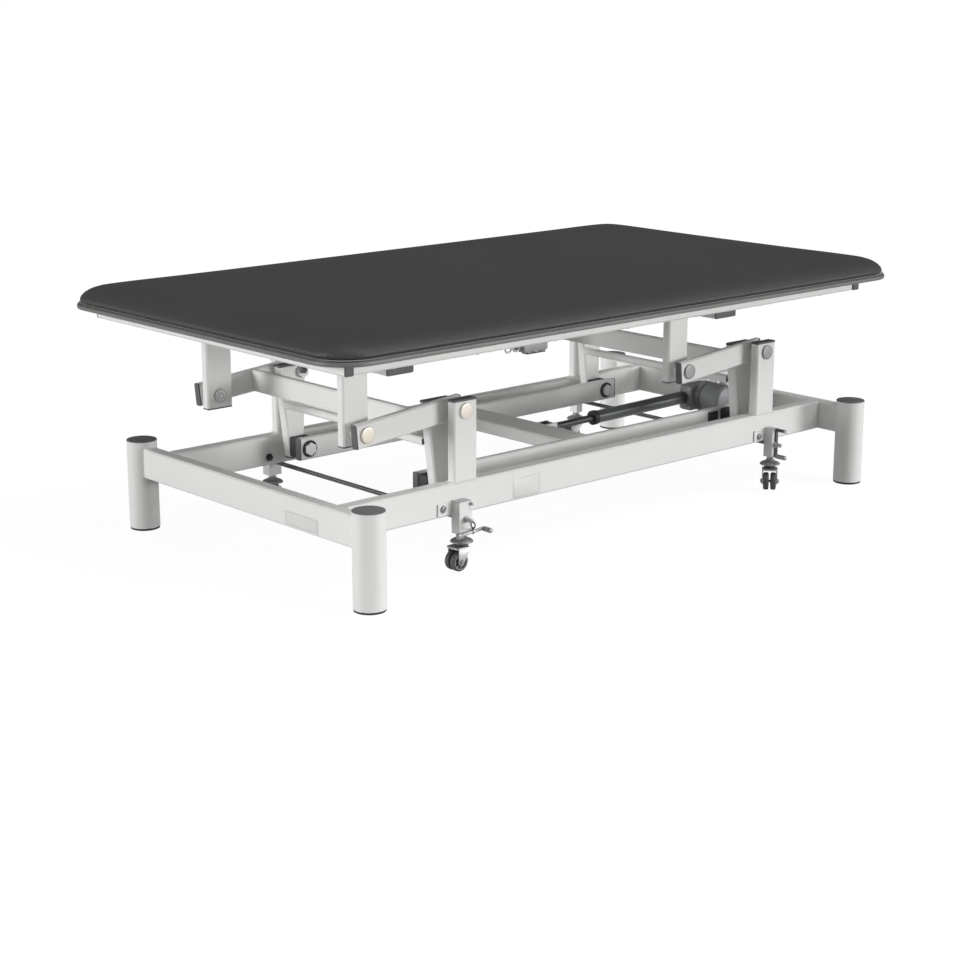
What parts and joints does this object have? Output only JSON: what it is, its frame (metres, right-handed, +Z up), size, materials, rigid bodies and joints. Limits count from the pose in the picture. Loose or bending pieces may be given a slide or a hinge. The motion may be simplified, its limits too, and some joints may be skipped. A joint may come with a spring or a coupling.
{
  "type": "height-adjustable treatment table",
  "caption": "Wide padded treatment table on a tubular base; electric actuator and parallelogram arms raise the level top, and pedals lower its twin-wheel castors.",
  "frame": {"origin": "on the floor under the middle of the padded top", "axes": "+X along the length towards the motor end, +Y across towards the back, +Z up"},
  "size_m": [2, 1.15, 0.6627],
  "materials": {
    "white_paint": "white powder coat on steel tube",
    "vinyl": "charcoal vinyl-coated upholstery fabric over foam",
    "board": "panel board with a grey wrapped edge",
    "rubber": "moulded dark rubber",
    "zinc": "zinc-plated pressed steel",
    "tread": "grey rubber tread on moulded wheels",
    "steel": "bright drawn steel rod",
    "dark_plastic": "dark moulded plastic housing"
  },
  "bodies": {
    "base": {"base_rail_front": "white_paint", "base_rail_back": "white_paint", "base_rail_left": "white_paint", "base_rail_right": "white_paint", "leg_front_left": "white_paint", "leg_front_right": "white_paint", "leg_back_left": "white_paint", "leg_back_right": "white_paint", "foot_front_left": "rubber", "foot_front_right": "rubber", "foot_back_left": "rubber", "foot_back_right": "rubber", "post_front_left": "white_paint", "post_front_right": "white_paint", "post_back_left": "white_paint", "post_back_right": "white_paint", "castor_housing_front_left": "white_paint", "castor_housing_front_right": "white_paint", "castor_housing_back_left": "white_paint", "castor_housing_back_right": "white_paint", "rear_bracket": "white_paint"},
    "left_arm": {"crank_front_left": "white_paint", "crank_back_left": "white_paint", "arm_beam_left": "white_paint", "arm_strip_left": "white_paint"},
    "right_arm": {"crank_front_right": "white_paint", "crank_back_right": "white_paint", "arm_beam_right": "white_paint", "arm_strip_right": "white_paint"},
    "tie_frame": {"tie_bar_front": "white_paint", "tie_bar_back": "white_paint", "tie_cross_tube": "white_paint"},
    "top": {"pad": "vinyl", "board": "board", "top_rail_front": "white_paint", "top_rail_back": "white_paint", "top_rail_left": "white_paint", "top_rail_right": "white_paint", "cross_tube_left": "white_paint", "cross_tube_right": "white_paint", "hanger_front_left": "white_paint", "hanger_front_right": "white_paint", "hanger_back_left": "white_paint", "hanger_back_right": "white_paint"},
    "actuator_rod": {"actuator_rod": "steel"},
    "actuator_body": {"actuator_body": "dark_plastic"},
    "left_pedal": {"castor_shaft_left": "zinc"},
    "right_pedal": {"castor_shaft_right": "zinc"},
    "castor_plunger_front_left": {"castor_plunger_front_left": "zinc"},
    "castor_fork_front_left": {"castor_fork_front_left": "zinc"},
    "castor_wheels_front_left": {"castor_wheels_front_left": "tread"},
    "castor_plunger_front_right": {"castor_plunger_front_right": "zinc"},
    "castor_fork_front_right": {"castor_fork_front_right": "zinc"},
    "castor_wheels_front_right": {"castor_wheels_front_right": "tread"},
    "castor_plunger_back_left": {"castor_plunger_back_left": "zinc"},
    "castor_fork_back_left": {"castor_fork_back_left": "zinc"},
    "castor_wheels_back_left": {"castor_wheels_back_left": "tread"},
    "castor_plunger_back_right": {"castor_plunger_back_right": "zinc"},
    "castor_fork_back_right": {"castor_fork_back_right": "zinc"},
    "castor_wheels_back_right": {"castor_wheels_back_right": "tread"}
  },
  "joints": [
    {"name": "lift", "type": "hinge", "parent": "base", "child": "left_arm", "pos_m": [-0.4539, 0, 0.4013], "axis": [0, 1, 0], "range_deg": [-28, 51]},
    {"name": "right_arm_swing", "type": "hinge", "parent": "base", "child": "right_arm", "pos_m": [0.6756, 0, 0.4013], "axis": [0, 1, 0], "range_deg": [-28.2, 51.2]},
    {"name": "tie_frame_level", "type": "hinge", "parent": "left_arm", "child": "tie_frame", "pos_m": [-0.4734, 0, 0.2001], "axis": [0, 1, 0], "range_deg": [-51.2, 28.2]},
    {"name": "top_level", "type": "hinge", "parent": "left_arm", "child": "top", "pos_m": [-0.73, 0, 0.37666], "axis": [0, 1, 0], "range_deg": [-51.2, 28.2]},
    {"name": "rod_swing", "type": "hinge", "parent": "tie_frame", "child": "actuator_rod", "pos_m": [0.1276, -0.06, 0.2131], "axis": [0, 1, 0], "range_deg": [-2.2, 3.9]},
    {"name": "actuator_stroke", "type": "slide", "parent": "actuator_rod", "child": "actuator_body", "axis": [0.9999, 0, 0.0128], "range_m": [-0.0875, 0.159]},
    {"name": "left_pedal_press", "type": "hinge", "parent": "base", "child": "left_pedal", "pos_m": [-0.4819, 0, 0.138], "axis": [0, 1, 0], "range_deg": [0, 25]},
    {"name": "right_pedal_press", "type": "hinge", "parent": "base", "child": "right_pedal", "pos_m": [0.6891, 0, 0.138], "axis": [0, 1, 0], "range_deg": [0, 25]},
    {"name": "castor_drop_front_left", "type": "slide", "parent": "base", "child": "castor_plunger_front_left", "axis": [0, 0, -1], "range_m": [0, 0.0181]},
    {"name": "castor_swivel_front_left", "type": "hinge", "parent": "castor_plunger_front_left", "child": "castor_fork_front_left", "pos_m": [-0.4819, -0.3913, 0.033], "axis": [0, 0, 1], "continuous": true},
    {"name": "castor_roll_front_left", "type": "hinge", "parent": "castor_fork_front_left", "child": "castor_wheels_front_left", "pos_m": [-0.4999, -0.3913, 0.033], "axis": [0, 1, 0], "continuous": true},
    {"name": "castor_drop_front_right", "type": "slide", "parent": "base", "child": "castor_plunger_front_right", "axis": [0, 0, -1], "range_m": [0, 0.0181]},
    {"name": "castor_swivel_front_right", "type": "hinge", "parent": "castor_plunger_front_right", "child": "castor_fork_front_right", "pos_m": [0.6891, -0.3913, 0.033], "axis": [0, 0, 1], "continuous": true},
    {"name": "castor_roll_front_right", "type": "hinge", "parent": "castor_fork_front_right", "child": "castor_wheels_front_right", "pos_m": [0.67573, -0.40334, 0.033], "axis": [-0.6691, 0.7431, 0], "continuous": true},
    {"name": "castor_drop_back_left", "type": "slide", "parent": "base", "child": "castor_plunger_back_left", "axis": [0, 0, -1], "range_m": [0, 0.0181]},
    {"name": "castor_swivel_back_left", "type": "hinge", "parent": "castor_plunger_back_left", "child": "castor_fork_back_left", "pos_m": [-0.4819, 0.3913, 0.033], "axis": [0, 0, 1], "continuous": true},
    {"name": "castor_roll_back_left", "type": "hinge", "parent": "castor_fork_back_left", "child": "castor_wheels_back_left", "pos_m": [-0.49821, 0.38369, 0.033], "axis": [-0.4226, 0.9063, 0], "continuous": true},
    {"name": "castor_drop_back_right", "type": "slide", "parent": "base", "child": "castor_plunger_back_right", "axis": [0, 0, -1], "range_m": [0, 0.0181]},
    {"name": "castor_swivel_back_right", "type": "hinge", "parent": "castor_plunger_back_right", "child": "castor_fork_back_right", "pos_m": [0.6891, 0.3913, 0.033], "axis": [0, 0, 1], "continuous": true},
    {"name": "castor_roll_back_right", "type": "hinge", "parent": "castor_fork_back_right", "child": "castor_wheels_back_right", "pos_m": [0.67172, 0.39596, 0.033], "axis": [0.2588, 0.9659, 0], "continuous": true}
  ],
  "couplings": [
    {"joint": "right_arm_swing", "follows": "lift", "ratio": 1},
    {"joint": "tie_frame_level", "follows": "lift", "ratio": -1},
    {"joint": "top_level", "follows": "lift", "ratio": -1},
    {"joint": "rod_swing", "follows": "lift", "ratio": 0.0725},
    {"joint": "actuator_stroke", "follows": "lift", "m_per_rad": 0.178},
    {"joint": "castor_drop_front_left", "follows": "left_pedal_press", "m_per_rad": 0.041253},
    {"joint": "castor_drop_front_right", "follows": "right_pedal_press", "m_per_rad": 0.041253},
    {"joint": "castor_drop_back_left", "follows": "left_pedal_press", "m_per_rad": 0.041253},
    {"joint": "castor_drop_back_right", "follows": "right_pedal_press", "m_per_rad": 0.041253}
  ]
}
